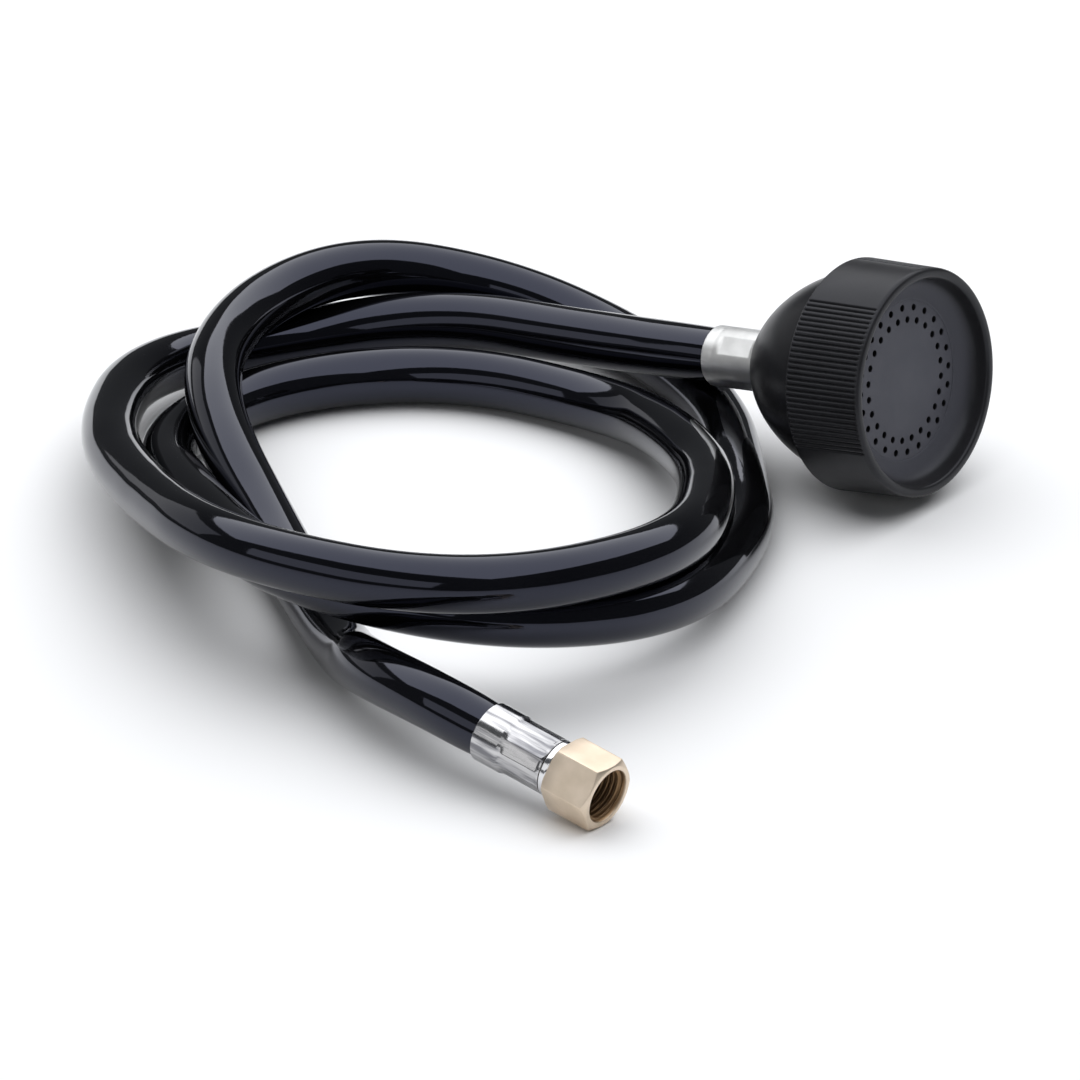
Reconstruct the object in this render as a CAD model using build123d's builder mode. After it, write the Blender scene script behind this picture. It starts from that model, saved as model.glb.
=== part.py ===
from build123d import *
import math
import os

# Spray hose with a rose head, lying coiled loosely on a bench.
# The frame: +X is the way the head sprays, seen from above, +Z is up, the bench is z = 0,
# and the origin is under the middle of the head. All sizes are in millimetres.

# ---- hose
HOSE_RADIUS = 7.0
HOSE_BORE = 4.0
RUN_SHARE = 0.45            # share of the shorter run that each bend of the hose takes up

# ---- head: heights along its axis are measured forward from the collar's back edge
HEAD_TILT = 8.8             # degrees that the spray face looks up
HEAD_YAW = -2.8             # degrees that it looks away from +X
HEAD_OFFSET = (8.4, 0.1)    # x and y of the collar's back edge, which centre the head's box
HEAD_LIFT = 0.4             # the turn of hose below the ferrule holds the collar this far up
COLLAR_RADIUS = 28.3
COLLAR_FRONT_RADIUS = 27.8
COLLAR_LENGTH = 21.1
COLLAR_BORE = 25.2
RIM_INNER_RADIUS = 25.3
RIM_ROUND = 1.1
DISH_WALL = ((24.6, 18.2), (22.4, 16.0))         # corners of the dish's wall, rim first
RIB_PITCH = 2.75            # degrees from one groove of the grip to the next
RIBS_PER_SECTOR = 29
RIB_SECTORS = 3
RIB_SECTOR_START = 160.5    # degrees round the axis, from the level +Y side, of a sector's middle
GROOVE_DEPTH = 0.55
GROOVE_WIDTH = 0.6
PLATE_FACE = 14.8           # front of the spray plate
PLATE_THICKNESS = 1.6
PLATE_RADIUS = 23.0
PLATE_SEAT_RADIUS = 23.2
PLATE_VIEW_RADIUS = 19.4    # what the collar's dish leaves of the plate to see
DISH_LIP = 0.3              # thickness of the dish's edge where it meets the plate
JET_RADIUS = 0.85
JET_COUNT = 24
JET_RINGS = (14.7, 17.7)
GASKET_THICKNESS = 1.0
GASKET_BORE = 20.4
SKIRT_RADIUS = 25.1         # crests of the thread that the collar screws on
SKIRT_BORE = 21.9
DOME_RADIUS = 25.5
DOME_LENGTH = 25.7
DOME_PULLS = ((19.0, -18.8), (23.8, -8.2))      # control points of the dome's curve, neck first
NECK_RADIUS = 8.2
NECK_BORE = 5.1
THROAT = -14.0              # where the neck's bore opens into the chamber
FIT = 0.3                   # air between the collar and the bell at rest
SMALL_GAP = 0.05            # air between the plate and the collar's seat

# ---- head stem and crimp ferrule
FERRULE_RADIUS = 7.5
FERRULE_BORE = 6.6          # the crimp squeezes the hose down to this
FERRULE_LENGTH = 15.7
FERRULE_LIP = 0.8           # thickness of the turned-in lip
FERRULE_LIP_BORE = 5.2
CRIMP_FLATS = 4
CRIMP_WIDTH = 4.8
CRIMP_DEPTH = 0.4
CRIMP_FROM_MOUTH = 4.8
CRIMP_TURN = 45.0           # degrees from level to the first flat
STEM_FLANGE_RADIUS = 6.5
STEM_FLANGE = 1.2
STEM_BORE = 2.75
STEM_SPIGOT_RADIUS = 5.0
STEM_SPIGOT_LENGTH = 10.8
BARB_ROOT = 3.45
BARB_COUNT = 4
BARB_END_LAND = 1.0
ORING_SECTION = 0.65
ORING_SETBACK = 2.6         # from the nose of the spigot to the ring's middle
THREAD_GROOVE = 0.35        # depth of the spigot's thread
THREAD_PITCH = 1.4

# ---- inlet: lengths are measured back from the nut's mouth
INLET_TILT = -10.0          # degrees, the nut leans down and rests on a flat
INLET_YAW = -4.0
MOUTH = Vector(65.6, -190.4, 7.9)
NUT_FLATS = 16.0
NUT_LENGTH = 13.0
NUT_CHAMFER_FRONT = 7.9     # radius where the front chamfer meets the face
NUT_CHAMFER_BACK = 8.5
THREAD_MINOR = 5.7225       # G1/4 female thread
COUNTERSINK_RADIUS = 6.7
THREAD_START = 1.0
NUT_LIP = 2.2               # the nut's inward lip that pulls on the tail's flange
NUT_LIP_BORE = 4.68
RELIEF_RADIUS = 6.0         # plain bore behind the thread, round the washer and the flange
RELIEF_START = 7.0
WASHER_BORE = 3.2
WASHER_THICKNESS = 1.6
TAIL_FLANGE_RADIUS = 5.7
TAIL_FLANGE = 1.7
TAIL_NECK = 4.6
TAIL_BORE = 2.75
BAND_START = 13.4
BAND_LENGTH = 1.8
BAND_RADIUS = 6.95
SLEEVE_START = 15.4         # inlet ferrule
SLEEVE_END = 35.0
SLEEVE_CRIMP_END = 27.0
SLEEVE_CRIMP_RADIUS = 6.9
SLEEVE_LIP_RADIUS = 7.3
SLEEVE_BORE = 6.3           # the crimp squeezes the hose down to this
SLEEVE_FLATS = 12
HOSE_STOP = 1.0             # ferrule lip in front of the hose end

# Middle points of the hose's route, head to nut: two and a half loose turns on the bench.
# It passes over itself in long humps and under itself where it leaves for the nut.
ROUTE = [
    (-114, 0, 13.4), (-147, -25, 7), (-158, -66, 12), (-136, -110, 18), (-106, -140, 23),
    (-50, -179, 35), (9, -166, 34), (34, -113, 31), (7, -59, 21), (-22, -31, 15),
    (-53, -11, 8), (-101, -14, 7), (-133, -48, 7), (-132, -95, 9), (-94, -131, 18),
    (-45, -167, 26), (7, -155, 22), (31, -109, 14), (13, -53, 7), (-7, -27, 7),
    (-34, 5, 7), (-73, 25, 7), (-109, 21, 15), (-136, -4, 24), (-144, -43, 23),
    (-123, -88, 22), (-69, -127, 7), (-30, -160, 7), (-10, -178, 15),
]
HEAD_RUN = 38.0             # straight out of the head ferrule
INLET_RUN = 17.5            # straight into the inlet ferrule


def direction(tilt, yaw):
    flat = math.cos(math.radians(tilt))
    return Vector(
        flat * math.cos(math.radians(yaw)),
        flat * math.sin(math.radians(yaw)),
        math.sin(math.radians(tilt)),
    )


HEAD_AXIS = direction(HEAD_TILT, HEAD_YAW)
HEAD_HEIGHT = COLLAR_RADIUS * math.cos(math.radians(HEAD_TILT)) + HEAD_LIFT
HEAD_BASE = Vector(*HEAD_OFFSET, HEAD_HEIGHT)
INLET_AXIS = direction(INLET_TILT, INLET_YAW)


def head_point(height):
    return HEAD_BASE + HEAD_AXIS * height


def inlet_point(back):
    return MOUTH - INLET_AXIS * back


def cross_plane(point, axis):
    """Square to the axis: local x is level and local y points up the slope."""
    level = Vector(0, 0, 1).cross(axis).normalized()
    return Plane(origin=point, x_dir=level, z_dir=axis)


def section_plane(point, axis):
    """Through the axis: local x runs out from it and local y runs along it."""
    level = Vector(0, 0, 1).cross(axis).normalized()
    return Plane(origin=point, x_dir=level, z_dir=level.cross(axis))


def head_section():
    return section_plane(HEAD_BASE, HEAD_AXIS)


def inlet_section():
    """Local y is minus the distance back from the mouth."""
    return section_plane(MOUTH, INLET_AXIS)


def keep(part, label):
    part.label = label
    export_step(part, f"parts/{label}.step")
    print(f"{label:16s} {len(part.solids())} solid, {part.volume:9.1f} mm3")


# ---------------------------------------------------------------- head


def make_bell():
    skirt_end = PLATE_FACE - PLATE_THICKNESS - GASKET_THICKNESS - FIT
    with BuildPart() as bell:
        with BuildSketch(head_section()):
            with BuildLine():
                Polyline((NECK_BORE, THROAT), (NECK_BORE, -DOME_LENGTH), (NECK_RADIUS, -DOME_LENGTH))
                Bezier((NECK_RADIUS, -DOME_LENGTH), *DOME_PULLS, (DOME_RADIUS, -FIT))
                Polyline(
                    (DOME_RADIUS, -FIT),
                    (SKIRT_RADIUS, -FIT),
                    (SKIRT_RADIUS, skirt_end),
                    (SKIRT_BORE, skirt_end),
                    (SKIRT_BORE, -FIT),
                )
                EllipticalCenterArc(
                    (NECK_BORE, -FIT),
                    SKIRT_BORE - NECK_BORE,
                    -THROAT - FIT,
                    start_angle=270,
                    arc_size=90,
                )
            make_face()
        revolve(axis=Axis(HEAD_BASE, HEAD_AXIS))
    keep(bell.part, "bell_body")


def make_collar():
    back = PLATE_FACE - PLATE_THICKNESS - GASKET_THICKNESS
    with BuildPart() as collar:
        with BuildSketch(head_section()) as wall:
            with BuildLine():
                Polyline(
                    (COLLAR_BORE, 0),
                    (COLLAR_RADIUS, 0),
                    (COLLAR_FRONT_RADIUS, COLLAR_LENGTH),
                    (RIM_INNER_RADIUS, COLLAR_LENGTH),
                    *DISH_WALL,
                    (PLATE_VIEW_RADIUS, PLATE_FACE + DISH_LIP),
                    (PLATE_VIEW_RADIUS, PLATE_FACE),
                    (PLATE_SEAT_RADIUS, PLATE_FACE),
                    (PLATE_SEAT_RADIUS, back),
                    (COLLAR_BORE, back),
                    (COLLAR_BORE, 0),
                )
            make_face()
            fillet(wall.vertices().group_by(Axis.Y)[-1], radius=RIM_ROUND)
        revolve(axis=Axis(HEAD_BASE, HEAD_AXIS))
        half = (RIBS_PER_SECTOR - 1) / 2
        grooves = [
            RIB_SECTOR_START + sector * 360 / RIB_SECTORS + (rib - half) * RIB_PITCH
            for sector in range(RIB_SECTORS)
            for rib in range(RIBS_PER_SECTOR)
        ]
        with BuildSketch(cross_plane(HEAD_BASE, HEAD_AXIS)):
            for angle in grooves:
                with PolarLocations(COLLAR_RADIUS, 1, start_angle=angle):
                    Rectangle(2 * GROOVE_DEPTH, GROOVE_WIDTH)
        extrude(amount=COLLAR_LENGTH - RIM_ROUND, mode=Mode.SUBTRACT)
    keep(collar.part, "grip_collar")


def make_spray_plate():
    with BuildPart() as plate:
        with BuildSketch(cross_plane(head_point(PLATE_FACE - SMALL_GAP), HEAD_AXIS)):
            Circle(PLATE_RADIUS)
            for ring, radius in enumerate(JET_RINGS):
                stagger = ring * 180 / JET_COUNT
                with PolarLocations(radius, JET_COUNT, start_angle=stagger):
                    Circle(JET_RADIUS, mode=Mode.SUBTRACT)
        extrude(amount=-(PLATE_THICKNESS - SMALL_GAP))
    keep(plate.part, "spray_plate")


def make_gasket():
    with BuildPart() as gasket:
        with BuildSketch(cross_plane(head_point(PLATE_FACE - PLATE_THICKNESS), HEAD_AXIS)):
            Circle(PLATE_RADIUS)
            Circle(GASKET_BORE, mode=Mode.SUBTRACT)
        extrude(amount=-GASKET_THICKNESS)
    keep(gasket.part, "plate_gasket")


def barb_outline(start, end, tip, root):
    """Saw-tooth edge between two places along an axis, each tooth falling away towards the end."""
    points = []
    pitch = (end - start) / BARB_COUNT
    for tooth in range(BARB_COUNT):
        points.append((root, start + tooth * pitch))
        points.append((tip, start + (tooth + 0.3) * pitch))
        points.append((tip, start + (tooth + 0.4) * pitch))
    points.append((root, end))
    return points


def make_head_stem():
    flange_back = -DOME_LENGTH - FERRULE_LIP - STEM_FLANGE
    nose = -DOME_LENGTH + STEM_SPIGOT_LENGTH
    barb_end = -DOME_LENGTH - FERRULE_LENGTH + 2 * BARB_END_LAND
    ring = nose - ORING_SETBACK
    ring_floor = NECK_BORE - 2 * ORING_SECTION
    turns = int((ring - 2 * ORING_SECTION + DOME_LENGTH) / THREAD_PITCH) - 1
    with BuildPart() as stem:
        with BuildSketch(head_section()):
            with BuildLine():
                Polyline(
                    (STEM_BORE, nose),
                    (STEM_SPIGOT_RADIUS, nose),
                    (STEM_SPIGOT_RADIUS, ring + 1.3 * ORING_SECTION),
                    (ring_floor, ring + 1.3 * ORING_SECTION),
                    (ring_floor, ring - 1.3 * ORING_SECTION),
                    (STEM_SPIGOT_RADIUS, ring - 1.3 * ORING_SECTION),
                    (STEM_SPIGOT_RADIUS, -DOME_LENGTH - FERRULE_LIP),
                    (STEM_FLANGE_RADIUS, -DOME_LENGTH - FERRULE_LIP),
                    (STEM_FLANGE_RADIUS, flange_back),
                    *barb_outline(flange_back, barb_end, HOSE_BORE, BARB_ROOT),
                    (STEM_BORE, barb_end),
                    (STEM_BORE, nose),
                )
            make_face()
        revolve(axis=Axis(HEAD_BASE, HEAD_AXIS))
        with BuildSketch(head_section()):
            for turn in range(turns):
                at = -DOME_LENGTH + (turn + 1) * THREAD_PITCH
                with Locations((STEM_SPIGOT_RADIUS, at)):
                    Rectangle(2 * THREAD_GROOVE, THREAD_PITCH / 2)
        revolve(axis=Axis(HEAD_BASE, HEAD_AXIS), mode=Mode.SUBTRACT)
    keep(stem.part, "head_stem")


def make_stem_oring():
    nose = -DOME_LENGTH + STEM_SPIGOT_LENGTH
    with BuildPart() as oring:
        with BuildSketch(head_section()):
            with Locations((NECK_BORE - ORING_SECTION, nose - ORING_SETBACK)):
                Circle(ORING_SECTION)
        revolve(axis=Axis(HEAD_BASE, HEAD_AXIS))
    keep(oring.part, "stem_oring")


def make_head_ferrule():
    front = -DOME_LENGTH
    mouth = -DOME_LENGTH - FERRULE_LENGTH
    flat_length = FERRULE_LENGTH - CRIMP_FROM_MOUTH - FERRULE_LIP
    with BuildPart() as ferrule:
        with BuildSketch(head_section()) as wall:
            with BuildLine():
                Polyline(
                    (FERRULE_LIP_BORE, front),
                    (FERRULE_RADIUS, front),
                    (FERRULE_RADIUS, mouth),
                    (FERRULE_BORE, mouth),
                    (FERRULE_BORE, front - FERRULE_LIP),
                    (FERRULE_LIP_BORE, front - FERRULE_LIP),
                    (FERRULE_LIP_BORE, front),
                )
            make_face()
        revolve(axis=Axis(HEAD_BASE, HEAD_AXIS))
        with BuildSketch(cross_plane(head_point(front - FERRULE_LIP), HEAD_AXIS)):
            with PolarLocations(FERRULE_RADIUS, CRIMP_FLATS, start_angle=CRIMP_TURN):
                Rectangle(2 * CRIMP_DEPTH, CRIMP_WIDTH)
        extrude(amount=-flat_length, mode=Mode.SUBTRACT)
    keep(ferrule.part, "head_ferrule")


# ---------------------------------------------------------------- hose


def hose_points():
    start = head_point(-DOME_LENGTH - FERRULE_LENGTH)
    end = inlet_point(SLEEVE_END)
    middle = [Vector(*point) for point in ROUTE]
    return [start, start - HEAD_AXIS * HEAD_RUN, *middle, end - INLET_AXIS * INLET_RUN, end]


def bend_radii(points):
    radii = []
    for before, here, after in zip(points, points[1:], points[2:]):
        run_in = here - before
        run_out = after - here
        turn = math.radians(run_in.get_angle(run_out))
        radii.append(RUN_SHARE * min(run_in.length, run_out.length) / math.tan(turn / 2))
    return radii


def make_hose():
    points = hose_points()
    radii = bend_radii(points)
    print("hose bend radii, mm:", [round(radius) for radius in radii])
    head_end = head_point(-DOME_LENGTH - FERRULE_LIP - STEM_FLANGE)
    inlet_end = inlet_point(SLEEVE_START + HOSE_STOP)
    with BuildPart() as hose:
        with BuildLine() as route:
            FilletPolyline(*points, radius=radii)
        with BuildSketch(cross_plane(points[0], -HEAD_AXIS)):
            Circle(HOSE_RADIUS)
            Circle(HOSE_BORE, mode=Mode.SUBTRACT)
        sweep(path=route.wires()[0])
        with BuildSketch(cross_plane(points[0], HEAD_AXIS)):
            Circle(FERRULE_BORE)
            Circle(HOSE_BORE, mode=Mode.SUBTRACT)
        extrude(amount=(head_end - points[0]).length)
        with BuildSketch(cross_plane(points[-1], INLET_AXIS)):
            Circle(SLEEVE_BORE)
            Circle(HOSE_BORE, mode=Mode.SUBTRACT)
        extrude(amount=(inlet_end - points[-1]).length)
    ring = math.pi * (HOSE_RADIUS**2 - HOSE_BORE**2)
    head_ring = math.pi * (FERRULE_BORE**2 - HOSE_BORE**2)
    inlet_ring = math.pi * (SLEEVE_BORE**2 - HOSE_BORE**2)
    length = route.wires()[0].length
    head_part = (head_end - points[0]).length
    inlet_part = (inlet_end - points[-1]).length
    expected = ring * length + head_ring * head_part + inlet_ring * inlet_part
    print(f"hose: {length:.0f} mm free, {length + head_part + inlet_part:.0f} mm cut length")
    print(f"hose volume {hose.part.volume:.0f} mm3, section times length {expected:.0f} mm3")
    keep(hose.part, "hose")


# ---------------------------------------------------------------- inlet


def make_inlet_ferrule():
    step = 0.8
    with BuildPart() as sleeve:
        with BuildSketch(inlet_section()) as wall:
            with BuildLine():
                Polyline(
                    (NUT_LIP_BORE, -SLEEVE_START),
                    (SLEEVE_CRIMP_RADIUS, -SLEEVE_START),
                    (SLEEVE_CRIMP_RADIUS, -SLEEVE_CRIMP_END),
                    (SLEEVE_LIP_RADIUS, -SLEEVE_CRIMP_END - step),
                    (SLEEVE_LIP_RADIUS, -SLEEVE_END),
                    (SLEEVE_BORE, -SLEEVE_END),
                    (SLEEVE_BORE, -SLEEVE_START - HOSE_STOP),
                    (NUT_LIP_BORE, -SLEEVE_START - HOSE_STOP),
                    (NUT_LIP_BORE, -SLEEVE_START),
                )
            make_face()
        revolve(axis=Axis(MOUTH, INLET_AXIS))
        inner_flat = SLEEVE_CRIMP_RADIUS * math.cos(math.radians(180 / SLEEVE_FLATS))
        with BuildSketch(cross_plane(inlet_point(SLEEVE_START + 0.6), INLET_AXIS)):
            Circle(SLEEVE_LIP_RADIUS + 1)
            RegularPolygon(inner_flat, SLEEVE_FLATS, major_radius=False, mode=Mode.SUBTRACT)
        extrude(amount=-(SLEEVE_CRIMP_END - SLEEVE_START - 1.2), mode=Mode.SUBTRACT)
    keep(sleeve.part, "inlet_ferrule")


def make_inlet_tail():
    flange_front = -(NUT_LENGTH - NUT_LIP - TAIL_FLANGE)
    flange_back = -(NUT_LENGTH - NUT_LIP)
    neck_end = -(SLEEVE_START + HOSE_STOP)
    with BuildPart() as tail:
        with BuildSketch(inlet_section()):
            with BuildLine():
                Polyline(
                    (TAIL_BORE, flange_front),
                    (TAIL_FLANGE_RADIUS, flange_front),
                    (TAIL_FLANGE_RADIUS, flange_back + SMALL_GAP),
                    (TAIL_NECK, flange_back + SMALL_GAP),
                    (TAIL_NECK, neck_end),
                    *barb_outline(neck_end, -SLEEVE_END + 2 * BARB_END_LAND, HOSE_BORE, BARB_ROOT),
                    (TAIL_BORE, -SLEEVE_END + 2 * BARB_END_LAND),
                    (TAIL_BORE, flange_front),
                )
            make_face()
        revolve(axis=Axis(MOUTH, INLET_AXIS))
    keep(tail.part, "inlet_tail")


def make_tail_band():
    with BuildPart() as band:
        with BuildSketch(cross_plane(inlet_point(BAND_START), INLET_AXIS)):
            Circle(BAND_RADIUS)
            Circle(TAIL_NECK, mode=Mode.SUBTRACT)
        extrude(amount=-BAND_LENGTH)
        outer = band.edges().filter_by(GeomType.CIRCLE).group_by(SortBy.RADIUS)[-1]
        chamfer(outer, length=0.3)
    keep(band.part, "tail_band")


def make_inlet_washer():
    flange_front = NUT_LENGTH - NUT_LIP - TAIL_FLANGE
    with BuildPart() as washer:
        with BuildSketch(cross_plane(inlet_point(flange_front), INLET_AXIS)):
            Circle(TAIL_FLANGE_RADIUS)
            Circle(WASHER_BORE, mode=Mode.SUBTRACT)
        extrude(amount=WASHER_THICKNESS)
    keep(washer.part, "inlet_washer")


def make_swivel_nut():
    corner = NUT_FLATS / 2 / math.cos(math.radians(30))
    over = 1.0
    slope = math.tan(math.radians(30))
    with BuildPart() as nut:
        with BuildSketch(cross_plane(MOUTH, INLET_AXIS)):
            RegularPolygon(NUT_FLATS / 2, 6, major_radius=False)
        extrude(amount=-NUT_LENGTH)
        with BuildSketch(inlet_section()):
            with BuildLine():
                Polyline(
                    (NUT_CHAMFER_FRONT, 0),
                    (corner + over, -(corner + over - NUT_CHAMFER_FRONT) * slope),
                    (corner + over, over),
                    (NUT_CHAMFER_FRONT, over),
                    (NUT_CHAMFER_FRONT, 0),
                )
            make_face()
            with BuildLine():
                Polyline(
                    (NUT_CHAMFER_BACK, -NUT_LENGTH),
                    (corner + over, -NUT_LENGTH + (corner + over - NUT_CHAMFER_BACK) * slope),
                    (corner + over, -NUT_LENGTH - over),
                    (NUT_CHAMFER_BACK, -NUT_LENGTH - over),
                    (NUT_CHAMFER_BACK, -NUT_LENGTH),
                )
            make_face()
        revolve(axis=Axis(MOUTH, INLET_AXIS), mode=Mode.SUBTRACT)
        with BuildSketch(inlet_section()):
            with BuildLine():
                Polyline(
                    (0, over),
                    (COUNTERSINK_RADIUS, over),
                    (COUNTERSINK_RADIUS, 0),
                    (THREAD_MINOR, -THREAD_START),
                    (THREAD_MINOR, -RELIEF_START),
                    (RELIEF_RADIUS, -RELIEF_START),
                    (RELIEF_RADIUS, -NUT_LENGTH + NUT_LIP),
                    (NUT_LIP_BORE, -NUT_LENGTH + NUT_LIP),
                    (NUT_LIP_BORE, -NUT_LENGTH - over),
                    (0, -NUT_LENGTH - over),
                    (0, over),
                )
            make_face()
        revolve(axis=Axis(MOUTH, INLET_AXIS), mode=Mode.SUBTRACT)
    keep(nut.part, "swivel_nut")


os.makedirs("parts", exist_ok=True)
make_bell()
make_collar()
make_spray_plate()
make_gasket()
make_head_stem()
make_stem_oring()
make_head_ferrule()
make_hose()
make_inlet_ferrule()
make_inlet_tail()
make_tail_band()
make_inlet_washer()
make_swivel_nut()
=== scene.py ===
import math

import bpy
import numpy as np
from mathutils import Matrix, Vector


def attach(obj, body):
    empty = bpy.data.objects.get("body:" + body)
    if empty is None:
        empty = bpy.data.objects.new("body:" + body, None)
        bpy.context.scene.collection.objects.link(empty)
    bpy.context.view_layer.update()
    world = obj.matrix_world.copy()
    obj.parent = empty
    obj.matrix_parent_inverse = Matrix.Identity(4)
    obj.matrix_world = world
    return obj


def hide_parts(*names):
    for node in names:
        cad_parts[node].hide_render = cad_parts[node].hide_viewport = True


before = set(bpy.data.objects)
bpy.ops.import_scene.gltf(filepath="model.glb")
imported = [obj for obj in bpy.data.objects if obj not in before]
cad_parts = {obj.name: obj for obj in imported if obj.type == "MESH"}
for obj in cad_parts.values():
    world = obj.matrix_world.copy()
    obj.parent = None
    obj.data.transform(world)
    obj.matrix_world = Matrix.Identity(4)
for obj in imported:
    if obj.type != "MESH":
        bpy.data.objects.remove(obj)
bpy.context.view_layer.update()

MM = 0.001  # sizes of the object are in mm, and the camera, floor and lamps are in metres

# ---------------------------------------------------------------- camera

CAMERA_AZIMUTH = math.radians(34.44)
CAMERA_ELEVATION = math.radians(25.0)
CAMERA_DISTANCE = 3.0
CAMERA_TARGET = Vector((-0.0351, -0.0710, 0.0))
CAMERA_LENS = 417.5
SENSOR_WIDTH = 36.0
CLIP_START, CLIP_END = 0.05, 50.0


def make_camera():
    data = bpy.data.cameras.new("camera")
    data.sensor_width = SENSOR_WIDTH
    data.lens = CAMERA_LENS
    data.clip_start = CLIP_START
    data.clip_end = CLIP_END
    camera = bpy.data.objects.new("camera", data)
    bpy.context.scene.collection.objects.link(camera)
    flat = math.cos(CAMERA_ELEVATION)
    back = Vector((
        math.sin(CAMERA_AZIMUTH) * flat,
        -math.cos(CAMERA_AZIMUTH) * flat,
        math.sin(CAMERA_ELEVATION),
    ))
    camera.location = CAMERA_TARGET + back * CAMERA_DISTANCE
    camera.rotation_mode = "QUATERNION"
    camera.rotation_quaternion = (-back).to_track_quat("-Z", "Y")
    bpy.context.scene.camera = camera


make_camera()

# ---------------------------------------------------------------- where the two ends lie


def direction(tilt, yaw):
    """Unit vector this many degrees above level and this many round from +X."""
    flat = math.cos(math.radians(tilt))
    return Vector((
        flat * math.cos(math.radians(yaw)),
        flat * math.sin(math.radians(yaw)),
        math.sin(math.radians(tilt)),
    ))


COLLAR_RADIUS = 28.3
HEAD_TILT = 8.8
HEAD_LIFT = 0.4  # the collar's lowest edge is this far above the bench
HEAD_HEIGHT = COLLAR_RADIUS * math.cos(math.radians(HEAD_TILT)) + HEAD_LIFT
HEAD_AXIS = direction(HEAD_TILT, -2.8)
HEAD_BASE = Vector((8.4, 0.1, HEAD_HEIGHT)) * MM
INLET_AXIS = direction(-10.0, -4.0)
MOUTH = Vector((65.6, -190.4, 7.9)) * MM
SLEEVE_END = 35.0  # how far the inlet ferrule reaches back from the nut's mouth
FERRULE_MOUTH = -41.4  # the head ferrule's open end along the head's axis


def axis_frame(base, axis):
    """Local z runs along the axis, local x is level and local y points up the slope."""
    level = Vector((0, 0, 1)).cross(axis).normalized()
    up = axis.cross(level)
    matrix = Matrix.Identity(4)
    for row in range(3):
        matrix[row][0] = level[row]
        matrix[row][1] = up[row]
        matrix[row][2] = axis[row]
        matrix[row][3] = base[row]
    return matrix


HEAD_FRAME = axis_frame(HEAD_BASE, HEAD_AXIS)
INLET_FRAME = axis_frame(MOUTH, INLET_AXIS)

# ---------------------------------------------------------------- hose

HOSE_RADIUS = 7.0
# guide points of the coil, from the head to the inlet
ROUTE = [
    (-114, 0, 13.4), (-147, -25, 7), (-158, -66, 12), (-136, -110, 18), (-106, -140, 23),
    (-50, -179, 35), (9, -166, 34), (34, -113, 31), (7, -59, 21), (-22, -31, 15),
    (-53, -11, 8), (-101, -14, 7), (-133, -48, 7), (-132, -95, 9), (-94, -131, 18),
    (-45, -167, 26), (7, -155, 22), (31, -109, 14), (13, -53, 7), (-7, -27, 7),
    (-34, 5, 7), (-73, 25, 7), (-109, 21, 15), (-136, -4, 24), (-144, -43, 23),
    (-123, -88, 22), (-69, -127, 7), (-30, -160, 7), (-10, -178, 15),
]
HEAD_RUN = 38.0  # straight runs out of the two ferrules
INLET_RUN = 17.5
HOSE_IN_HEAD = 3.0
HOSE_IN_SLEEVE = 3.0
MOUTH_SQUEEZE = 0.985  # shares of the hose's radius at the mouths and inside the ferrules
HEAD_SQUEEZE = 0.91
SLEEVE_SQUEEZE = 0.86


def make_hose():
    start = HEAD_BASE + HEAD_AXIS * FERRULE_MOUTH * MM
    end = MOUTH - INLET_AXIS * SLEEVE_END * MM
    points = [start + HEAD_AXIS * HOSE_IN_HEAD * MM, start, start - HEAD_AXIS * HEAD_RUN * MM]
    points += [Vector(p) * MM for p in ROUTE]
    points += [end - INLET_AXIS * INLET_RUN * MM, end, end + INLET_AXIS * HOSE_IN_SLEEVE * MM]
    curve = bpy.data.curves.new("hose_tube", "CURVE")
    curve.dimensions = "3D"
    curve.bevel_depth = HOSE_RADIUS * MM
    curve.bevel_resolution = 14
    curve.resolution_u = 20
    curve.use_fill_caps = True
    spline = curve.splines.new("NURBS")
    spline.points.add(len(points) - 1)
    for knot, place in zip(spline.points, points):
        knot.co = (*place, 1.0)
    spline.points[0].radius = HEAD_SQUEEZE
    spline.points[1].radius = MOUTH_SQUEEZE
    spline.points[-2].radius = MOUTH_SQUEEZE
    spline.points[-1].radius = SLEEVE_SQUEEZE
    spline.order_u = 3
    spline.use_endpoint_u = True
    spline.use_smooth = True
    hose = bpy.data.objects.new("hose_tube", curve)
    bpy.context.scene.collection.objects.link(hose)
    return hose, start


hose, hose_exit = make_hose()

# ---------------------------------------------------------------- mesh helpers

LONGEST_REACH = 0.48  # share of a side that the rounding of a corner may take


def add_object(name, vertices, faces, matrix):
    mesh = bpy.data.meshes.new(name)
    mesh.from_pydata([tuple(v) for v in vertices], [], faces)
    mesh.update()
    mesh.shade_smooth()
    made = bpy.data.objects.new(name, mesh)
    bpy.context.scene.collection.objects.link(made)
    made.matrix_world = matrix
    return made


def soften(corners, steps):
    """Closed outline of (radius, height, rounding) corners as points, each corner a curve."""
    outline = []
    for i, (x, y, rounding) in enumerate(corners):
        if rounding <= 0:
            outline.append((x, y))
            continue
        here = Vector((x, y))
        way_in = Vector(corners[i - 1][:2]) - here
        way_out = Vector(corners[(i + 1) % len(corners)][:2]) - here
        reach = min(
            rounding / math.tan(way_in.angle(way_out) / 2),
            LONGEST_REACH * way_in.length,
            LONGEST_REACH * way_out.length,
        )
        first = here + way_in.normalized() * reach
        last = here + way_out.normalized() * reach
        for step in range(steps + 1):
            t = step / steps
            point = first * (1 - t) ** 2 + here * 2 * t * (1 - t) + last * t ** 2
            outline.append((point.x, point.y))
    return outline


def bezier(points, t):
    """The place at t on the curve that these (radius, height) points control."""
    last = len(points) - 1
    weights = [math.comb(last, k) * (1 - t) ** (last - k) * t ** k for k in range(last + 1)]
    return tuple(sum(w * point[axis] for w, point in zip(weights, points)) for axis in (0, 1))


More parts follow.
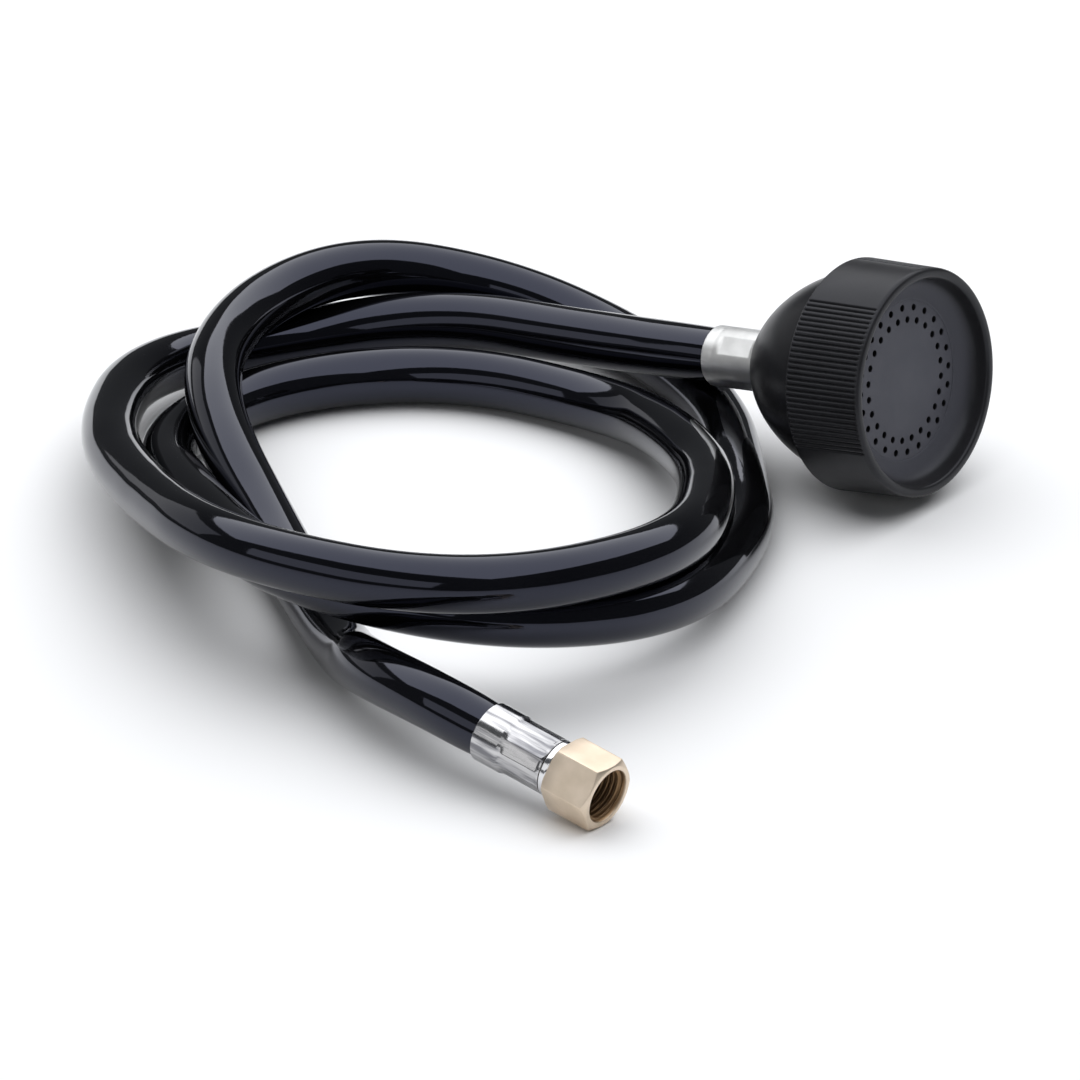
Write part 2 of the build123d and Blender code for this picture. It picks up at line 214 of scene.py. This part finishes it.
def split_long(outline, longest, keep):
    """Adds points so that no side is longer than this where keep(radius, height) is true."""
    result = []
    for i, (x, y) in enumerate(outline):
        result.append((x, y))
        nx, ny = outline[(i + 1) % len(outline)]
        if not keep((x + nx) / 2, (y + ny) / 2):
            continue
        pieces = math.ceil(math.hypot(nx - x, ny - y) / longest)
        for k in range(1, pieces):
            t = k / pieces
            result.append((x + (nx - x) * t, y + (ny - y) * t))
    return result


def lathe(name, outline, matrix, segments=160, shape=None, angles=None):
    """Turns a closed outline round local z. shape(radius, height, angle) may move a radius."""
    if angles is None:
        angles = np.linspace(0, 2 * math.pi, segments, endpoint=False)
    segments = len(angles)
    vertices = []
    for radius, height in outline:
        for angle in angles:
            moved = radius if shape is None else shape(radius, height, angle)
            vertices.append((
                moved * math.cos(angle) * MM,
                moved * math.sin(angle) * MM,
                height * MM,
            ))
    faces = []
    rows = len(outline)
    for row in range(rows):
        below = (row + 1) % rows
        for column in range(segments):
            right = (column + 1) % segments
            faces.append((
                row * segments + column,
                row * segments + right,
                below * segments + right,
                below * segments + column,
            ))
    area = sum(
        outline[i][0] * outline[(i + 1) % rows][1] - outline[(i + 1) % rows][0] * outline[i][1]
        for i in range(rows)
    )
    if area >= 0:
        faces = [face[::-1] for face in faces]
    return add_object(name, vertices, faces, matrix)


def smoothstep(low, high, value):
    t = min(1.0, max(0.0, (value - low) / (high - low)))
    return t * t * (3 - 2 * t)


def between(value, rise, fall):
    """1 between two fades, each a (start, end) pair, and 0 outside them."""
    return smoothstep(*rise, value) * (1 - smoothstep(*fall, value))


def from_middle(angle, middle, period):
    """How far an angle is past the nearest of the middles, which repeat with a period."""
    return (angle - middle + period / 2) % period - period / 2


FLANK = (0.08, 0.92)  # where a thread's flank starts and ends, between its root and its crest


def thread_wave(height, angle, pitch):
    """0 at a thread's root and 1 at its crest, rounded like a rolled thread."""
    phase = (height / pitch - angle / (2 * math.pi)) % 1.0
    return smoothstep(*FLANK, 1 - abs(2 * phase - 1))


# ---------------------------------------------------------------- material helpers
# Noise scales are for object coordinates in metres: a scale of 1000 has features of 1 mm.


def new_material(name):
    material = bpy.data.materials.new(name)
    material.use_nodes = True
    return material, material.node_tree, material.node_tree.nodes["Principled BSDF"]


def object_place(tree):
    return tree.nodes.new("ShaderNodeTexCoord").outputs["Object"]


def noise(tree, place, scale, detail, roughness=0.5, stretch=None):
    if stretch is not None:
        mapping = tree.nodes.new("ShaderNodeMapping")
        mapping.inputs["Scale"].default_value = stretch
        tree.links.new(place, mapping.inputs["Vector"])
        place = mapping.outputs["Vector"]
    node = tree.nodes.new("ShaderNodeTexNoise")
    node.inputs["Scale"].default_value = scale
    node.inputs["Detail"].default_value = detail
    node.inputs["Roughness"].default_value = roughness
    tree.links.new(place, node.inputs["Vector"])
    return node.outputs["Fac"]


def colour_by(tree, shader, value, dark, light, start, end):
    """Base colour that goes from dark to light as the value goes from start to end."""
    ramp = tree.nodes.new("ShaderNodeValToRGB")
    stops = ((start, dark), (end, light))
    for element, (place, colour) in zip(ramp.color_ramp.elements, stops):
        element.position = place
        element.color = (*colour, 1.0)
    tree.links.new(value, ramp.inputs["Fac"])
    tree.links.new(ramp.outputs["Color"], shader.inputs["Base Color"])


def range_node(tree, value, low, high):
    node = tree.nodes.new("ShaderNodeMapRange")
    node.inputs["To Min"].default_value = low
    node.inputs["To Max"].default_value = high
    tree.links.new(value, node.inputs["Value"])
    return node


def rough_by(tree, shader, value, rough):
    """Roughness that goes from the first to the second of a pair with the value."""
    node = range_node(tree, value, *rough)
    tree.links.new(node.outputs["Result"], shader.inputs["Roughness"])


def bump_chain(tree, shader, layers):
    """layers of (height socket, distance in mm, strength), each on top of the last."""
    last = None
    for height, distance, strength in layers:
        bump = tree.nodes.new("ShaderNodeBump")
        bump.inputs["Distance"].default_value = distance * MM
        bump.inputs["Strength"].default_value = strength
        tree.links.new(height, bump.inputs["Height"])
        if last is not None:
            tree.links.new(last.outputs["Normal"], bump.inputs["Normal"])
        last = bump
    tree.links.new(last.outputs["Normal"], shader.inputs["Normal"])


# ---------------------------------------------------------------- kinds of material


def plastic(name, dark, light, rough, grain=0.02, sheen=0.45):
    """Moulded plastic or rubber: cloudy tone, rub marks, faint flow marks and a fine grain."""
    material, tree, shader = new_material(name)
    place = object_place(tree)
    cloud = noise(tree, place, scale=90.0, detail=4.0)
    rub = noise(tree, place, scale=240.0, detail=6.0, roughness=0.6)
    fine = noise(tree, place, scale=2600.0, detail=2.0)
    flow = noise(tree, place, scale=60.0, detail=1.0)
    colour_by(tree, shader, cloud, dark, light, 0.3, 0.7)
    rough_by(tree, shader, rub, rough)
    bump_chain(tree, shader, [(flow, 0.12, 0.35), (fine, grain, 0.5)])
    shader.inputs["Specular IOR Level"].default_value = sheen
    # painted light colour: the bluish tint of the reflections stands in for bluish studio light
    shader.inputs["Specular Tint"].default_value = (0.88, 0.90, 1.0, 1.0)
    return material


def glossy_hose():
    """Soft PVC tube: deep gloss with a few duller smears, and slow waves in its wall."""
    material, tree, shader = new_material("hose_gloss")
    place = object_place(tree)
    cloud = noise(tree, place, scale=30.0, detail=3.0)
    smear = noise(tree, place, scale=55.0, detail=5.0, roughness=0.6)
    slow = noise(tree, place, scale=38.0, detail=1.0)
    orange_peel = noise(tree, place, scale=420.0, detail=2.0)
    dark, light = (0.0012, 0.0012, 0.0014), (0.0028, 0.0028, 0.0032)
    colour_by(tree, shader, cloud, dark, light, 0.3, 0.7)
    rough_by(tree, shader, smear, (0.03, 0.09))
    bump_chain(tree, shader, [(slow, 0.9, 0.35), (orange_peel, 0.02, 0.30)])
    shader.inputs["Specular IOR Level"].default_value = 0.54
    # painted light colour: the bluish tint of the reflections stands in for bluish studio light
    shader.inputs["Specular Tint"].default_value = (0.70, 0.74, 1.0, 1.0)
    return material


def turned_metal(name, dark, light, rough, lines=0.006, anisotropic=0.3):
    """Metal with lathe lines round its axis, small stains and slight wear."""
    material, tree, shader = new_material(name)
    place = object_place(tree)
    cloud = noise(tree, place, scale=160.0, detail=5.0)
    turned = noise(
        tree, place, scale=900.0, detail=3.0, roughness=0.6, stretch=(0.05, 0.05, 4.0),
    )
    spots = noise(tree, place, scale=420.0, detail=6.0, roughness=0.65)
    colour_by(tree, shader, cloud, dark, light, 0.35, 0.65)
    rough_by(tree, shader, spots, rough)
    bump_chain(tree, shader, [(turned, lines, 0.5), (spots, 0.004, 0.4)])
    shader.inputs["Metallic"].default_value = 1.0
    shader.inputs["Anisotropic"].default_value = anisotropic
    return material


def drawn_metal(name, dark, light, rough):
    """Plated tube: bright, with draw marks along its length and smudges; the dark and light
    streaks along its length in the base colour are painted reflections.
    """
    material, tree, shader = new_material(name)
    place = object_place(tree)
    draw_marks_and_reflection_streaks = noise(
        tree, place, scale=420.0, detail=3.0, roughness=0.6, stretch=(1.0, 1.0, 0.09),
    )
    smudge = noise(tree, place, scale=300.0, detail=5.0, roughness=0.6)
    fine = noise(tree, place, scale=1500.0, detail=2.0, stretch=(1.0, 1.0, 0.05))
    # painted reflection: dark and light streaks along the sleeve in the base colour
    colour_by(tree, shader, draw_marks_and_reflection_streaks, dark, light, 0.40, 0.56)
    rough_by(tree, shader, smudge, rough)
    bump_chain(tree, shader, [(draw_marks_and_reflection_streaks, 0.10, 0.5), (fine, 0.004, 0.4)])
    shader.inputs["Metallic"].default_value = 1.0
    return material


# A mix node has sockets for each kind of value. These are the ones for numbers and for colours.
NUMBER_A, NUMBER_B, NUMBER_OUT = 2, 3, 0
COLOUR_A, COLOUR_B, COLOUR_OUT = 6, 7, 2
SOFT_EDGE = 0.3  # width of the fade between two finishes


def blend(material, amount, colour, roughness=None):
    """Mixes another colour, and a roughness if given, into a finished material."""
    tree = material.node_tree
    shader = tree.nodes["Principled BSDF"]
    base = shader.inputs["Base Color"]
    tone = tree.nodes.new("ShaderNodeMix")
    tone.data_type = "RGBA"
    tree.links.new(amount, tone.inputs["Factor"])
    tree.links.new(base.links[0].from_socket, tone.inputs[COLOUR_A])
    tone.inputs[COLOUR_B].default_value = (*colour, 1.0)
    tree.links.new(tone.outputs[COLOUR_OUT], base)
    if roughness is not None:
        rough = shader.inputs["Roughness"]
        gloss = tree.nodes.new("ShaderNodeMix")
        tree.links.new(amount, gloss.inputs["Factor"])
        tree.links.new(rough.links[0].from_socket, gloss.inputs[NUMBER_A])
        gloss.inputs[NUMBER_B].default_value = roughness
        tree.links.new(gloss.outputs[NUMBER_OUT], rough)


def fading(tree, value, full, none):
    """1 up to one distance in mm and 0 from the other on."""
    node = range_node(tree, value, 1.0, 0.0)
    node.interpolation_type = "SMOOTHSTEP"
    node.inputs["From Min"].default_value = full * MM
    node.inputs["From Max"].default_value = none * MM
    return node.outputs["Result"]


def inside_blend(material, colour, radius, roughness=None, fade=None):
    """Another colour, and a roughness if given, nearer local z than a radius, which may fade out
    between two heights: the plate's grey on the collar's dish, and painted shade in the nut's
    bore.
    """
    tree = material.node_tree
    split = tree.nodes.new("ShaderNodeSeparateXYZ")
    tree.links.new(object_place(tree), split.inputs["Vector"])
    flat = tree.nodes.new("ShaderNodeCombineXYZ")
    tree.links.new(split.outputs["X"], flat.inputs["X"])
    tree.links.new(split.outputs["Y"], flat.inputs["Y"])
    length = tree.nodes.new("ShaderNodeVectorMath")
    length.operation = "LENGTH"
    tree.links.new(flat.outputs["Vector"], length.inputs[0])
    amount = fading(tree, length.outputs["Value"], radius - SOFT_EDGE, radius)
    if fade is not None:
        both = tree.nodes.new("ShaderNodeMath")
        both.operation = "MULTIPLY"
        tree.links.new(amount, both.inputs[0])
        tree.links.new(fading(tree, split.outputs["Z"], *fade), both.inputs[1])
        amount = both.outputs["Value"]
    blend(material, amount, colour, roughness)


def painted_hole_shade(material, colour, base, axis, level):
    """Another colour below a level on an axis: painted shade on the walls of holes under a face.
    """
    tree = material.node_tree
    along = tree.nodes.new("ShaderNodeVectorMath")
    along.operation = "DOT_PRODUCT"
    tree.links.new(object_place(tree), along.inputs[0])
    along.inputs[1].default_value = axis
    none = base.dot(axis) / MM + level
    blend(material, fading(tree, along.outputs["Value"], none - SOFT_EDGE, none), colour)


# ---------------------------------------------------------------- the materials

PLATE_FACE = 14.8  # height of the plate's face, and of the bottom of the collar's dish
JET_SHADE_DEPTH = 0.1  # how far under the face the painted shade on the jets' walls starts
DISH_REACH = 25.6  # the dish lies within this radius, and its finish fades out up its wall
DISH_FADE = (14.9, 17.8)
NUT_MOUTH = 6.75  # radius at the nut's countersink

black_plastic = plastic(
    "black_moulding", (0.010, 0.010, 0.011), (0.015, 0.015, 0.017), (0.24, 0.36), sheen=0.15,
)
collar_plastic = plastic(
    "collar_moulding", (0.013, 0.013, 0.014), (0.019, 0.019, 0.021), (0.26, 0.38), sheen=0.24,
)
inside_blend(
    collar_plastic, (0.066, 0.067, 0.080), DISH_REACH, roughness=0.57, fade=DISH_FADE,
)
plate_plastic = plastic(
    "plate_moulding", (0.060, 0.061, 0.074), (0.072, 0.073, 0.087), (0.50, 0.65),
)
# painted shade: the jets' walls under the plate's face are coloured near black
painted_hole_shade(plate_plastic, (0.002, 0.002, 0.002), HEAD_BASE, HEAD_AXIS, PLATE_FACE - JET_SHADE_DEPTH)
seal_rubber = plastic(
    "seal_rubber", (0.008, 0.008, 0.008), (0.014, 0.014, 0.014), (0.65, 0.85), grain=0.04,
)
washer_fibre = plastic(
    "washer_fibre", (0.05, 0.035, 0.03), (0.09, 0.07, 0.06), (0.7, 0.9), grain=0.05,
)
hose_gloss = glossy_hose()
satin_steel = turned_metal("satin_steel", (0.62, 0.62, 0.61), (0.74, 0.74, 0.73), (0.34, 0.50))
# the two colours are the dark and light of the painted reflection streaks
chrome = drawn_metal("polished_sleeve", (0.20, 0.20, 0.215), (0.58, 0.575, 0.58), (0.10, 0.22))
band_chrome = turned_metal(
    "polished_band", (0.70, 0.70, 0.71), (0.80, 0.80, 0.81), (0.08, 0.18),
    lines=0.002, anisotropic=0.1,
)
nut_brass = turned_metal("pale_brass", (0.70, 0.59, 0.46), (0.80, 0.68, 0.55), (0.40, 0.54))
# painted shade: the nut's bore and thread inside the countersink are coloured dark brown
inside_blend(nut_brass, (0.27, 0.17, 0.09), NUT_MOUTH)
tail_brass = turned_metal("tail_brass", (0.66, 0.54, 0.33), (0.76, 0.64, 0.42), (0.2, 0.35))

# ---------------------------------------------------------------- collar
# Heights on the head are along its axis from the collar's back edge.

COLLAR_LENGTH = 21.1
COLLAR_BORE = 25.2
COLLAR_FRONT_RADIUS = 27.82
RIM_RADIUS = 25.3
OUTER_WALL = 27.4  # the outer wall is all that lies outside this radius
DISH_CURVE = ((25.1, 19.2), (24.6, 14.95), (19.4, 14.83))  # from the rim down to the plate
DISH_STEPS = 16
SEAT_RADIUS = 23.2  # the plate and the gasket lie in the seat
SEAT_BACK, SEAT_FACE = 12.2, 14.805

RIB_PITCH = math.radians(2.75)
RIBS_PER_SECTOR = 29
RIB_SECTORS = 3
SECTOR = 2 * math.pi / RIB_SECTORS
RIB_SECTOR_MIDDLE = math.radians(160.5)
GROOVE_DEPTH = 0.55
GROOVE_WIDTH = 0.17  # in pitches
RIB_CROWN = 0.025
GROOVE_ENDS = ((0.25, 0.7), (19.7, 20.5))
# rows of the outer wall, close together where the grooves fade
GROOVE_ROWS = (0.5, 0.6, 0.75, 5.0, 10.0, 15.0, 19.3, 19.7, 19.85, 20.0, 20.2, 20.4, 20.5)

COLLAR_THREAD_PITCH = 3.0
COLLAR_THREAD_DEPTH = 0.6
BORE_THREAD_ENDS = ((0.5, 1.5), (11.2, 12.1))
THREAD_ROW = 0.25  # the longest step along a thread or over a flat


def groove_place(angle):
    """Distance from the nearest groove's middle in pitches, or None between the grip zones."""
    offset = from_middle(angle, RIB_SECTOR_MIDDLE, SECTOR)
    place = offset / RIB_PITCH + (RIBS_PER_SECTOR - 1) / 2
    if not -0.5 <= place <= RIBS_PER_SECTOR - 0.5:
        return None
    return abs(place - round(place))


def collar_shape(radius, height, angle):
    if radius > OUTER_WALL and height < COLLAR_LENGTH - 0.2:
        place = groove_place(angle)
        if place is None:
            return radius
        groove = GROOVE_DEPTH * math.exp(-((place / GROOVE_WIDTH) ** 2))
        crown = RIB_CROWN * (2 * place - 1) ** 2
        return radius - (groove + crown) * between(height, *GROOVE_ENDS)
    if abs(radius - COLLAR_BORE) < 0.05 and height < SEAT_BACK - 0.1:
        depth = COLLAR_THREAD_DEPTH * between(height, *BORE_THREAD_ENDS)
        return radius + depth * thread_wave(height, angle, COLLAR_THREAD_PITCH)
    return radius


def with_groove_rows(outline):
    """Adds the grooves' rows to the long side of the outer wall."""
    result = []
    for i, (x, y) in enumerate(outline):
        result.append((x, y))
        nx, ny = outline[(i + 1) % len(outline)]
        if min(x, nx) > OUTER_WALL and abs(ny - y) > COLLAR_LENGTH / 2:
            for height in GROOVE_ROWS:
                if min(y, ny) < height < max(y, ny):
                    result.append((x + (nx - x) * (height - y) / (ny - y), height))
    return result


def collar_angles():
    """Ten columns to a groove in the grip zones, and wider ones between the zones."""
    angles = []
    half = RIBS_PER_SECTOR * RIB_PITCH / 2
    for k in range(RIB_SECTORS):
        middle = RIB_SECTOR_MIDDLE + k * SECTOR
        grip = np.linspace(middle - half, middle + half, RIBS_PER_SECTOR * 10, endpoint=False)
        plain = np.linspace(middle + half, middle + SECTOR - half, 24, endpoint=False)
        angles += [*grip, *plain]
    return sorted(angle % (2 * math.pi) for angle in angles)


def make_collar():
    corners = [
        (COLLAR_BORE, 0.0, 0.35),
        (COLLAR_RADIUS, 0.0, 0.45),
        (COLLAR_FRONT_RADIUS, COLLAR_LENGTH, 1.15),
        (RIM_RADIUS, COLLAR_LENGTH, 1.0),
    ]
    for step in range(DISH_STEPS + 1):
        corners.append((*bezier(DISH_CURVE, step / DISH_STEPS), 0.0))
    corners += [
        (DISH_CURVE[-1][0], SEAT_FACE, 0.0),
        (SEAT_RADIUS, SEAT_FACE, 0.0),
        (SEAT_RADIUS, SEAT_BACK, 0.0),
        (COLLAR_BORE, SEAT_BACK, 0.0),
    ]
    outline = split_long(
        with_groove_rows(soften(corners, 5)),
        THREAD_ROW,
        lambda radius, height: abs(radius - COLLAR_BORE) < 0.02,
    )
    return lathe(
        "grip_collar_ribbed", outline, HEAD_FRAME, shape=collar_shape, angles=collar_angles(),
    )


# ---------------------------------------------------------------- bell

SKIRT_RADIUS = 25.1  # crests of the thread that the collar screws on
SKIRT_END = 11.9
SKIRT_THREAD_ENDS = ((0.2, 1.4), (10.8, 11.8))
BELL_EDGE = -0.3
DOME_CURVE = ((8.2, -25.7), (19.0, -18.8), (23.8, -8.2), (25.5, BELL_EDGE))
DOME_STEPS = 56
NECK_END = -25.7
NECK_RADIUS = 7.7
STEM_BORE = 5.1
CHAMBER_RADIUS = 21.9
CHAMBER_BACK = -14.0
CHAMBER_STEPS = 24


def bell_shape(radius, height, angle):
    if abs(radius - SKIRT_RADIUS) < 0.05 and height > SKIRT_THREAD_ENDS[0][0]:
        crest = between(height, *SKIRT_THREAD_ENDS)
        crest *= thread_wave(height, angle, COLLAR_THREAD_PITCH)
        return radius - COLLAR_THREAD_DEPTH * (1 - crest)
    return radius


def make_bell():
    outline = [(STEM_BORE, CHAMBER_BACK), (STEM_BORE, NECK_END), (NECK_RADIUS, NECK_END)]
    outline += [bezier(DOME_CURVE, step / DOME_STEPS) for step in range(1, DOME_STEPS)]
    outline += [
        (25.48, BELL_EDGE - 0.06),
        (25.41, BELL_EDGE),
        (SKIRT_RADIUS, BELL_EDGE),
        (SKIRT_RADIUS, SKIRT_END),
        (CHAMBER_RADIUS, SKIRT_END),
        (CHAMBER_RADIUS, BELL_EDGE),
    ]
    width, depth = CHAMBER_RADIUS - STEM_BORE, BELL_EDGE - CHAMBER_BACK
    for step in range(1, CHAMBER_STEPS):
        angle = math.radians(-90.0 * step / CHAMBER_STEPS)
        outline.append((STEM_BORE + width * math.cos(angle), BELL_EDGE + depth * math.sin(angle)))
    outline = split_long(
        outline, THREAD_ROW, lambda radius, height: abs(radius - SKIRT_RADIUS) < 0.02,
    )
    return lathe("bell_dome", outline, HEAD_FRAME, 192, bell_shape)


# ---------------------------------------------------------------- head ferrule

FERRULE_RADIUS = 7.5
FERRULE_INSIDE = 7.0  # within this radius nothing is shaped
FLAT_SPACING = math.radians(90)
FLAT_MIDDLE = math.radians(135)
FLAT_APOTHEM = 7.08
FLAT_ENDS = ((-37.0, -36.2), (-27.2, -26.5))
ROLLED_LINE = -38.3
ROLLED_DEPTH = 0.04
ROLLED_WIDTH = 0.6


def ferrule_shape(radius, height, angle):
    if radius < FERRULE_INSIDE:
        return radius
    offset = from_middle(angle, FLAT_MIDDLE, FLAT_SPACING)
    depth = max(0.0, FERRULE_RADIUS - FLAT_APOTHEM / math.cos(offset))
    line = ROLLED_DEPTH * math.exp(-(((height - ROLLED_LINE) / ROLLED_WIDTH) ** 2))
    return radius - depth * between(height, *FLAT_ENDS) - line


def make_head_ferrule():
    corners = [
        (5.2, NECK_END, 0.1),
        (FERRULE_RADIUS, NECK_END, 0.5),
        (FERRULE_RADIUS, FERRULE_MOUTH, 0.9),
        (6.95, FERRULE_MOUTH, 0.3),
        (6.6, -39.6, 0.0),
        (6.6, -26.5, 0.0),
        (5.2, -26.5, 0.0),
    ]
    outline = split_long(soften(corners, 6), THREAD_ROW, lambda radius, height: radius > 7.3)
    return lathe("head_ferrule_crimped", outline, HEAD_FRAME, 288, ferrule_shape)


collar = make_collar()
bell = make_bell()
head_ferrule = make_head_ferrule()

# ---------------------------------------------------------------- nut
# Depths are from the nut's mouth, against local z.

NUT_APOTHEM = 8.0
NUT_LENGTH = 13.0
NUT_FACE = 7.6  # radii where the chamfers start on the mouth's side and on the back
NUT_BACK = 8.35
CHAMFER_SLOPE = math.tan(math.radians(30))
CHAMFER_EDGE = 0.12
SIDE = math.radians(60)
CORNER_WEAR = 0.07
CORNER_WIDTH = math.radians(1.5)
COLUMNS_BY_CORNER = (0.4, 1.2, 2.5, 5, 8, 12, 16, 20, 25)  # degrees
THREAD_MINOR = 5.7225
THREAD_DEPTH = 0.80
THREAD_PITCH = 1.337
THREAD_BACK = 7.0
THREAD_LENGTH = 6.2
THREAD_STEPS = 60
COUNTERSINK = (0.75, 1.3)  # depths between which the thread runs out
RELIEF_RADIUS = 6.0
TAIL_BORE = 4.68
WEB_DEPTH = 10.8


def nut_section(angle):
    """Closed outline of (radius, depth) points of the nut at this angle."""
    from_corner = from_middle(angle, 0.0, SIDE)
    outer = NUT_APOTHEM / math.cos(from_middle(angle, SIDE / 2, SIDE))
    outer -= CORNER_WEAR * math.exp(-((from_corner / CORNER_WIDTH) ** 2))
    front_drop = (outer - NUT_FACE) * CHAMFER_SLOPE
    back_drop = max(0.05, (outer - NUT_BACK) * CHAMFER_SLOPE)
    section = [
        (NUT_MOUTH, 0.0),
        (NUT_MOUTH + 0.15, 0.03),
        (NUT_FACE - 0.15, 0.0),
        (NUT_FACE, 0.015),
        (NUT_FACE + 0.1 * (outer - NUT_FACE), 0.1 * front_drop + 0.01),
        (outer - CHAMFER_EDGE, front_drop - CHAMFER_EDGE * CHAMFER_SLOPE),
        (outer, front_drop + CHAMFER_EDGE),
        (outer, 4.0),
        (outer, 8.5),
        (outer, NUT_LENGTH - back_drop - CHAMFER_EDGE),
        (outer - 0.1, NUT_LENGTH - (back_drop - 0.04 if back_drop > 0.1 else 0.03)),
        (min(NUT_BACK, outer - CHAMFER_EDGE), NUT_LENGTH),
        (RELIEF_RADIUS, NUT_LENGTH),
        (TAIL_BORE, NUT_LENGTH),
        (TAIL_BORE, WEB_DEPTH),
        (RELIEF_RADIUS, WEB_DEPTH),
        (RELIEF_RADIUS, THREAD_BACK),
    ]
    for step in range(THREAD_STEPS + 1):
        depth = THREAD_BACK - THREAD_LENGTH * step / THREAD_STEPS
        root = 1 - thread_wave(depth, -angle, THREAD_PITCH)
        full = smoothstep(*COUNTERSINK, depth)
        section.append((THREAD_MINOR + THREAD_DEPTH * (0.9 * (1 - full) + root * full), depth))
    section.append((NUT_MOUTH - 0.15, 0.22))
    return section


def make_nut():
    beside = COLUMNS_BY_CORNER
    degrees = [0, *beside, 30, *(60 - d for d in reversed(beside))]
    angles = [math.radians(60 * k + d) for k in range(6) for d in degrees]
    sections = [nut_section(angle) for angle in angles]
    vertices = [
        (radius * math.cos(angle) * MM, radius * math.sin(angle) * MM, -depth * MM)
        for angle, section in zip(angles, sections)
        for radius, depth in section
    ]
    faces = []
    rows = len(sections[0])
    for column in range(len(angles)):
        here = column * rows
        right = (column + 1) % len(angles) * rows
        for row in range(rows):
            below = (row + 1) % rows
            faces.append((here + row, here + below, right + below, right + row))
    return add_object("swivel_nut_threaded", vertices, faces, INLET_FRAME)


# ---------------------------------------------------------------- inlet ferrule and band
# Heights here are along local z from the nut's mouth, so they are all negative.

SLEEVE_RADIUS = 6.9
SLEEVE_INSIDE = 6.45
SLEEVE_START = -15.4
LIP_RADIUS = 7.3
FACET_SPACING = math.radians(30)
FACET_MIDDLE = math.radians(97)
FACET_APOTHEM = 6.665
FACET_ENDS = ((-27.2, -26.0), (-16.6, -15.9))
BAND_RADIUS = 6.95


def sleeve_shape(radius, height, angle):
    if radius < SLEEVE_INSIDE:
        return radius
    offset = from_middle(angle, FACET_MIDDLE, FACET_SPACING)
    depth = max(0.0, SLEEVE_RADIUS - FACET_APOTHEM / math.cos(offset))
    return radius - depth * between(height, *FACET_ENDS)


def make_inlet_ferrule():
    corners = [
        (TAIL_BORE, SLEEVE_START, 0.0),
        (SLEEVE_RADIUS, SLEEVE_START, 0.2),
        (SLEEVE_RADIUS, -27.0, 0.5),
        (LIP_RADIUS, -27.9, 0.6),
        (LIP_RADIUS, -SLEEVE_END, 0.3),
        (6.8, -SLEEVE_END, 0.1),
        (6.3, -33.5, 0.0),
        (6.3, SLEEVE_START - 1.0, 0.0),
        (TAIL_BORE, SLEEVE_START - 1.0, 0.0),
    ]
    outline = split_long(soften(corners, 5), 0.3, lambda radius, height: radius > 6.85)
    return lathe("inlet_ferrule_crimped", outline, INLET_FRAME, 240, sleeve_shape)


def make_tail_band():
    corners = [
        (4.6, -13.4, 0.0),
        (6.7, -13.4, 0.2),
        (BAND_RADIUS, -13.9, 0.2),
        (BAND_RADIUS, -15.2, 0.25),
        (4.6, -15.2, 0.0),
    ]
    return lathe("tail_band_turned", soften(corners, 4), INLET_FRAME)


nut = make_nut()
inlet_ferrule = make_inlet_ferrule()
tail_band = make_tail_band()

# ---------------------------------------------------------------- finishes and bodies


def finish_piece(piece, material, body, slot, *nodes):
    piece.data.materials.clear()
    piece.data.materials.append(material)
    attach(piece, body)
    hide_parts(*nodes)


finish_piece(hose, hose_gloss, "head", "hose_black", "hose")
finish_piece(collar, collar_plastic, "collar", "black_plastic", "grip_collar")
finish_piece(bell, black_plastic, "head", "black_plastic", "bell_body")
finish_piece(head_ferrule, satin_steel, "head", "ferrule_steel", "head_ferrule")
finish_piece(nut, nut_brass, "nut", "nut_brass", "swivel_nut")
finish_piece(inlet_ferrule, chrome, "head", "ferrule_chrome", "inlet_ferrule")
finish_piece(tail_band, band_chrome, "head", "ferrule_chrome", "tail_band")

CAD_MATERIALS = {
    "spray_plate": plate_plastic,
    "plate_gasket": seal_rubber,
    "stem_oring": seal_rubber,
    "head_stem": tail_brass,
    "inlet_tail": tail_brass,
    "inlet_washer": washer_fibre,
}
for node, material in CAD_MATERIALS.items():
    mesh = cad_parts[node].data
    mesh.materials.clear()
    mesh.materials.append(material)

# ---------------------------------------------------------------- stage and light

FLOOR_HALF = 40.0
FLOOR_DROP = 0.0002
WORLD_STRENGTH = 0.09
MIDDLE = (-0.05, -0.08, 0.02)


def make_floor():
    half = FLOOR_HALF
    corners = [(-half, -half, 0), (half, -half, 0), (half, half, 0), (-half, half, 0)]
    floor = add_object("floor", corners, [(0, 1, 2, 3)], Matrix.Translation((0, 0, -FLOOR_DROP)))
    material, _, shader = new_material("floor_white")
    shader.inputs["Base Color"].default_value = (0.92, 0.92, 0.92, 1.0)
    shader.inputs["Roughness"].default_value = 0.7
    shader.inputs["Specular IOR Level"].default_value = 0.2
    floor.data.materials.append(material)


def add_area(name, place, target, width, height, power, colour=(1.0, 1.0, 1.0)):
    data = bpy.data.lights.new(name, "AREA")
    data.shape = "RECTANGLE"
    data.size = width
    data.size_y = height
    data.energy = power
    data.color = colour
    light = bpy.data.objects.new(name, data)
    bpy.context.scene.collection.objects.link(light)
    light.location = place
    light.rotation_mode = "QUATERNION"
    light.rotation_quaternion = (Vector(target) - Vector(place)).to_track_quat("-Z", "Y")


def make_world():
    world = bpy.data.worlds.new("studio")
    bpy.context.scene.world = world
    world.use_nodes = True
    background = world.node_tree.nodes["Background"]
    background.inputs["Color"].default_value = (0.9, 0.94, 1.0, 1.0)
    background.inputs["Strength"].default_value = WORLD_STRENGTH


make_floor()
make_world()
add_area(
    "ceiling_box", (-0.36, 0.80, 1.5), (-0.36, 0.80, 0.0),
    width=3.6, height=3.6, power=77.0, colour=(0.97, 0.98, 1.0),
)
add_area("front_panel", (-0.50, -3.20, 1.35), MIDDLE, width=5.2, height=1.5, power=21.0)
add_area("left_panel", (-3.2, 0.1, 0.95), MIDDLE, width=2.6, height=1.3, power=5.5)

bpy.context.scene.view_settings.view_transform = "Standard"
